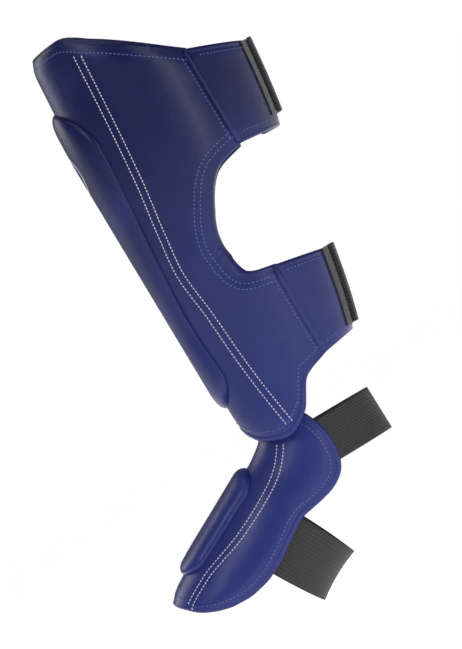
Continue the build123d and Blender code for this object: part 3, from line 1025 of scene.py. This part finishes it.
# ---------------------------------------------------------------- elastics and strip
def build_elastics():
    """The ribbed elastics round the ankle and under the foot."""
    half, back, middle, height = 40.0, 41.0, -12.0, 38.0
    bm = bmesh.new()
    start = -0.19

    def ankle(u, v):
        angle = start + (math.pi - 2 * start) * u
        wave = 0.5 * math.sin(u * 9) * (v - 0.5)
        return Vector((half * math.cos(angle), middle + (back - middle) * math.sin(angle) + wave,
                       -height / 2 + height * v))

    grid_patch(bm, 96, 14, ankle)
    bmesh.ops.recalc_face_normals(bm, faces=bm.faces)
    face_out(bm)
    elastic = make_object("ankle_ribbed_elastic", bm, "instep",
                          finish_for("elastic"), nodes=("ankle_elastic",))
    thicken(elastic, 1.8, -1.0)
    half, depth, width = 47.0, 109.0, 51.0
    seam_depth = 51.0

    def foot(u, v):
        angle = -0.06 + (math.pi + 0.12) * u
        run = math.sin(max(0.0, min(math.pi, angle)))
        narrow = 1 - 0.10 * run ** 2
        bow = 3.0 * run ** 2 * (1 - (2 * v - 1) ** 2)
        deep = seam_depth + (depth - seam_depth - bow * 0.6) * math.sin(angle)
        return (BEND + ALONG * (18.0 + width / 2 + width * narrow * (v - 0.5))
                + INWARD * deep + Vector((half * math.cos(angle), 0, 0)))

    bm = bmesh.new()
    grid_patch(bm, 96, 16, foot)
    bmesh.ops.recalc_face_normals(bm, faces=bm.faces)
    face_out(bm)
    elastic = make_object("foot_ribbed_elastic", bm, "instep",
                          finish_for("elastic"), nodes=("foot_elastic",))
    thicken(elastic, 1.8, -1.0)


def build_strip():
    """The strip that hangs the instep inside the tail, across the hinge line."""
    bm = bmesh.new()

    def place(u, v):
        z = 38.0 + 26.0 * v
        half = leg_ring(z, inside=True)[0]
        return leg_point(math.asin((2 * u - 1) * 30.0 / half), z, inside=True, lift=-0.5)

    grid_patch(bm, 24, 24, place)
    bmesh.ops.recalc_face_normals(bm, faces=bm.faces)
    face_front(bm)
    bmesh.ops.solidify(bm, geom=bm.faces[:], thickness=1.4)
    strip = make_object(
        "joining_strip", bm, "shell", finish_for("lining"),
        blend=("shell", "instep", (0, -0.055, 0.060), (0, -0.055, 0.042)),
        nodes=("hinge_strip",),
    )


# ---------------------------------------------------------------- stitching and mark
ROW_Y = smooth_line([27.0, 67.0, 95.0, 135.0, 172.0, 208.0, 250.0, 308.0, 366.0],
                    [-30.5, -35.9, -38.5, -41.0, -44.5, -40.8, -34.8, -29.2, -24.9])
ROW_GAP = 5.6


def shell_row(bm, path, pitch, length, thick):
    """Sew a row along a path of angles and heights on the shell."""
    points = [shell_skin(a, z, lift=STITCH_LIFT) for a, z in path]
    sew(bm, points, [ellipse_normal(a, z) for a, z in path], pitch, length, thick)


def inset_path(name, distance):
    """A shell edge moved in from the free edge by this distance."""
    path = SHELL_EDGES[name]
    if name in ("top", "bottom"):
        sign = -1 if name == "top" else 1
        edge = TOP_LINE if name == "top" else BOTTOM_LINE
        out = []
        for angle, z in path:
            half, middle, radius = leg_ring(z)
            y = middle - radius * math.cos(angle)
            run = math.hypot(half * math.cos(angle), radius * math.sin(angle))
            fall = (edge(y + 1) - edge(y - 1)) / 2 * radius * math.sin(angle) / run
            out.append((angle, z + sign * distance * math.hypot(1, fall)))
        return out
    side = 1 if name == "near_cut" else -1
    flat = [leg_point(a, z) for a, z in path]
    ways = frames_along(flat)
    out = []
    for point, way in zip(flat, ways):
        inward = Vector((0, way.z, -way.y)).normalized()
        y, z = point.y + inward.y * distance, point.z + inward.z * distance
        out.append((side * leg_angle(y, z), z))
    return out


def build_stitching():
    """The white double rows and the blue rows beside the bindings and seams."""
    white, blue = bmesh.new(), bmesh.new()
    for side in (1, -1):
        for offset in (0.0, ROW_GAP):
            path = []
            for k in range(161):
                z = 27.0 + (TOP_LINE(-24.0 + offset) - 12.0 - 27.0) * k / 160
                path.append((side * leg_angle(ROW_Y(z) + offset, z), z))
            shell_row(white, path, 2.9, 2.35, 0.95)
    for name, distances in (("top", (8.0,)), ("bottom", (8.0,)), ("near_cut", (7.5, 12.0)),
                            ("far_cut", (7.5, 12.0))):
        for distance in distances:
            shell_row(blue, inset_path(name, distance), 3.4, 2.4, 0.75)
    for level in ("upper", "lower"):
        for side in (1, -1):
            low, high = SEAM_BOTTOM[level] + 6, SEAM_TOP[level] - 6
            path = [(side * leg_angle(SEAM_Y[level] - 5.5, low + (high - low) * k / 30),
                     low + (high - low) * k / 30) for k in range(31)]
            shell_row(blue, path, 3.4, 2.4, 0.75)
    make_object("shell_white_stitches", white, "shell",
                finish_for("white_thread"))
    make_object("shell_blue_stitches", blue, "shell", finish_for("blue_thread"))
    white, blue = bmesh.new(), bmesh.new()
    for side in (1, -1):
        for drop in (0.0, ROW_GAP):
            path = [(side, k / 100) for k in range(101)]
            points, normals = [], []
            for _, t in path:
                s, reach = instep_row(0.26 + 0.71 * t)
                centre = math.radians(47.0 + 7.0 * math.sin(math.pi * min(1.0, t * 1.3)))
                angle = side * (centre + drop / RING_HALF(s))
                u = angle / reach
                points.append(instep_skin(u, 0.26 + 0.71 * t, lift=0.1))
                normals.append((instep_point(angle, s, lift=1) - instep_point(angle, s)).normalized())
            sew(white, points, normals, 2.9, 2.35, 0.95)
    path = instep_edge(8.0)
    points = [instep_skin(u, v, lift=0.1) for u, v in path]
    normals = [(instep_skin(u, v, lift=1.1) - instep_skin(u, v, lift=0.1)).normalized()
               for u, v in path]
    sew(blue, points, normals, 3.4, 2.4, 0.75)
    make_object("instep_white_stitches", white, "instep",
                finish_for("white_thread"))
    make_object("instep_blue_stitches", blue, "instep",
                finish_for("blue_thread"))


def build_mark():
    """A plain printed ring on the bar, which stands for no maker."""
    bm = bmesh.new()
    radius, width, height = 17.0, 1.7, 283.0

    def place(u, v):
        turn = 2 * math.pi * u
        r = radius - width * v
        x, z = r * math.cos(turn), height + r * math.sin(turn)
        half = leg_ring(z)[0]
        return leg_point(math.asin(x / half), z, lift=BAR_HEIGHT + 0.42)

    grid_patch(bm, 72, 2, place)
    bmesh.ops.remove_doubles(bm, verts=bm.verts, dist=0.01)
    bmesh.ops.recalc_face_normals(bm, faces=bm.faces)
    face_front(bm)
    mark = make_object("plain_ring_mark", bm, "shell", finish_for("print"))
    thicken(mark, 0.15, -1.0)


# ---------------------------------------------------------------- stage
LIGHT_AIM = (0, 0, 0.15)


def area_light(name, place, size, power):
    """A soft rectangular light aimed at the middle of the guard."""
    data = bpy.data.lights.new(name, "AREA")
    data.shape, data.size, data.size_y = "RECTANGLE", size[0], size[1]
    data.energy = power
    light = bpy.data.objects.new(name, data)
    light.location = place
    light.rotation_euler = (Vector(LIGHT_AIM) - Vector(place)).to_track_quat("-Z", "Y").to_euler()
    bpy.context.scene.collection.objects.link(light)


def build_stage():
    """The camera, the pale floor, the world and the lights."""
    scene = bpy.context.scene
    tilt = math.radians(31.0)
    right = Vector((0, math.cos(tilt), -math.sin(tilt)))
    up = Vector((0, math.sin(tilt), math.cos(tilt)))
    back = Vector((1, 0, 0))
    lens, sensor, picture_height = 400.0, 36.0, 0.5195
    aim = Vector((0.03, -0.0273, 0.1183))
    data = bpy.data.cameras.new("camera")
    data.lens, data.sensor_width, data.sensor_fit = lens, sensor, "AUTO"
    data.clip_start, data.clip_end = 0.05, 60.0
    camera = bpy.data.objects.new("camera", data)
    camera.matrix_world = Matrix.Translation(aim + back * (lens / sensor * picture_height)) @ (
        Matrix((right, up, back)).transposed().to_4x4()
    )
    scene.collection.objects.link(camera)
    scene.camera = camera
    bm = bmesh.new()
    bmesh.ops.create_grid(bm, x_segments=2, y_segments=2, size=14.0)
    bmesh.ops.translate(bm, verts=bm.verts, vec=(0, 0, CAD_BOX[0][2] - 0.012))
    mesh = bpy.data.meshes.new("floor")
    bm.to_mesh(mesh)
    bm.free()
    pale = Shader("pale_floor")
    mottle = pale.noise(3.0)
    pale.varying("Base Color", pale.mix(mottle, (0.9, 0.9, 0.9, 1), (0.93, 0.93, 0.93, 1)))
    pale.constant(Roughness=0.9, Emission_Color=(1, 1, 1, 1), Emission_Strength=0.86)
    mesh.materials.append(pale.material)
    floor = bpy.data.objects.new("floor", mesh)
    scene.collection.objects.link(floor)
    world = bpy.data.worlds.new("studio")
    world.use_nodes = True
    shade = world.node_tree.nodes["Background"]
    shade.inputs["Color"].default_value = (1, 1, 1, 1)
    path = world.node_tree.nodes.new("ShaderNodeLightPath")
    lift = world.node_tree.nodes.new("ShaderNodeMapRange")
    lift.inputs["To Min"].default_value = 0.14
    lift.inputs["To Max"].default_value = 1.0
    world.node_tree.links.new(path.outputs["Is Camera Ray"], lift.inputs["Value"])
    world.node_tree.links.new(lift.outputs["Result"], shade.inputs["Strength"])
    scene.world = world
    scene.view_settings.view_transform = "Standard"
    area_light("key", (1.3, -1.0, 1.5), (0.5, 1.3), 9.0)
    area_light("side", (1.7, 0.75, 0.6), (0.3, 1.5), 7.0)
    area_light("rim", (-1.2, -1.2, 1.0), (0.8, 1.2), 6.0)
    area_light("top", (0.2, 0.2, 2.2), (1.4, 1.4), 7.0)


# ---------------------------------------------------------------- add-on
class GuardSizes(bpy.types.PropertyGroup):
    """What a user would change on the guard."""

    # painted shade: this blue is the leather's top, darkened as if in shadow
    shaded_top_blue: bpy.props.FloatVectorProperty(
        name="Upper blue", description="Leather colour towards the knee", subtype="COLOR",
        default=(0.006, 0.0095, 0.066), size=3)
    # painted light: this blue is the leather's bottom, brightened as if lit
    lit_bottom_blue: bpy.props.FloatVectorProperty(
        name="Lower blue", description="Leather colour towards the foot", subtype="COLOR",
        default=(0.024, 0.034, 0.19), size=3)
    thread_blue: bpy.props.FloatVectorProperty(
        name="Thread blue", description="Colour of the thread beside the binding",
        subtype="COLOR", default=(0.12, 0.17, 0.50), size=3)


def build_straps():
    """Both near straps."""
    for level in ("upper", "lower"):
        build_near_strap(level)


def build_closures():
    """Both closures."""
    for level in ("upper", "lower"):
        build_closure(level)


class GUARD_OT_shell(bpy.types.Operator):
    """Leather cover and lining of the shin shell."""

    bl_idname = "guard.shell"
    bl_label = "Shell"

    def execute(self, context):
        build_shell()
        return {"FINISHED"}


class GUARD_OT_shell_binding(bpy.types.Operator):
    """Folded binding on the shell's edges."""

    bl_idname = "guard.shell_binding"
    bl_label = "Shell binding"

    def execute(self, context):
        build_shell_binding()
        return {"FINISHED"}


class GUARD_OT_shell_bar(bpy.types.Operator):
    """Raised bar on the shin."""

    bl_idname = "guard.shell_bar"
    bl_label = "Shell bar"

    def execute(self, context):
        build_bar()
        return {"FINISHED"}


class GUARD_OT_instep(bpy.types.Operator):
    """Leather cover and lining of the instep."""

    bl_idname = "guard.instep"
    bl_label = "Instep"

    def execute(self, context):
        build_instep()
        return {"FINISHED"}


class GUARD_OT_instep_binding(bpy.types.Operator):
    """Folded binding on the instep's edge."""

    bl_idname = "guard.instep_binding"
    bl_label = "Instep binding"

    def execute(self, context):
        build_instep_binding()
        return {"FINISHED"}


class GUARD_OT_instep_bar(bpy.types.Operator):
    """Raised bar on the instep."""

    bl_idname = "guard.instep_bar"
    bl_label = "Instep bar"

    def execute(self, context):
        build_instep_bar()
        return {"FINISHED"}


class GUARD_OT_straps(bpy.types.Operator):
    """Padded leather straps on the near side."""

    bl_idname = "guard.straps"
    bl_label = "Near straps"

    def execute(self, context):
        build_straps()
        return {"FINISHED"}


class GUARD_OT_closures(bpy.types.Operator):
    """Webbing closures, hooks, loops and anchors."""

    bl_idname = "guard.closures"
    bl_label = "Closures"

    def execute(self, context):
        build_closures()
        return {"FINISHED"}


class GUARD_OT_welts(bpy.types.Operator):
    """Folded welts over the upright seams."""

    bl_idname = "guard.welts"
    bl_label = "Seam welts"

    def execute(self, context):
        build_welts()
        return {"FINISHED"}


class GUARD_OT_elastics(bpy.types.Operator):
    """Ribbed elastics at the ankle and under the foot."""

    bl_idname = "guard.elastics"
    bl_label = "Elastics"

    def execute(self, context):
        build_elastics()
        return {"FINISHED"}


class GUARD_OT_strip(bpy.types.Operator):
    """Strip that hangs the instep in the tail."""

    bl_idname = "guard.strip"
    bl_label = "Joining strip"

    def execute(self, context):
        build_strip()
        return {"FINISHED"}


class GUARD_OT_stitching(bpy.types.Operator):
    """All rows of stitches on shell and instep."""

    bl_idname = "guard.stitching"
    bl_label = "Stitching"

    def execute(self, context):
        build_stitching()
        return {"FINISHED"}


class GUARD_OT_mark(bpy.types.Operator):
    """A generic ring printed on the bar."""

    bl_idname = "guard.mark"
    bl_label = "Plain mark"

    def execute(self, context):
        build_mark()
        return {"FINISHED"}


class GUARD_OT_stage(bpy.types.Operator):
    """Floor, lights and camera."""

    bl_idname = "guard.stage"
    bl_label = "Stage"

    def execute(self, context):
        build_stage()
        return {"FINISHED"}


STEPS_IN_ORDER = [
    GUARD_OT_shell,
    GUARD_OT_shell_binding,
    GUARD_OT_shell_bar,
    GUARD_OT_instep,
    GUARD_OT_instep_binding,
    GUARD_OT_instep_bar,
    GUARD_OT_straps,
    GUARD_OT_closures,
    GUARD_OT_welts,
    GUARD_OT_elastics,
    GUARD_OT_strip,
    GUARD_OT_stitching,
    GUARD_OT_mark,
    GUARD_OT_stage,
]


class GUARD_PT_panel(bpy.types.Panel):
    """Lists the guard's pieces in the sidebar."""

    bl_label = "Shin guard"
    bl_idname = "GUARD_PT_panel"
    bl_space_type = "VIEW_3D"
    bl_region_type = "UI"
    bl_category = "Shin guard"

    def draw(self, context):
        for name in GuardSizes.__annotations__:
            self.layout.prop(context.scene.guard_sizes, name)
        for operator in STEPS_IN_ORDER:
            self.layout.operator(operator.bl_idname)


CLASSES = [GuardSizes, *STEPS_IN_ORDER, GUARD_PT_panel]


def register():
    for cls in CLASSES:
        bpy.utils.register_class(cls)
    bpy.types.Scene.guard_sizes = bpy.props.PointerProperty(type=GuardSizes)


def unregister():
    del bpy.types.Scene.guard_sizes
    for cls in reversed(CLASSES):
        bpy.utils.unregister_class(cls)


def main():
    """Build every piece in order."""
    register()
    for operator in STEPS_IN_ORDER:
        getattr(bpy.ops.guard, operator.bl_idname.split(".")[1])()


if __name__ == "__main__":
    main()
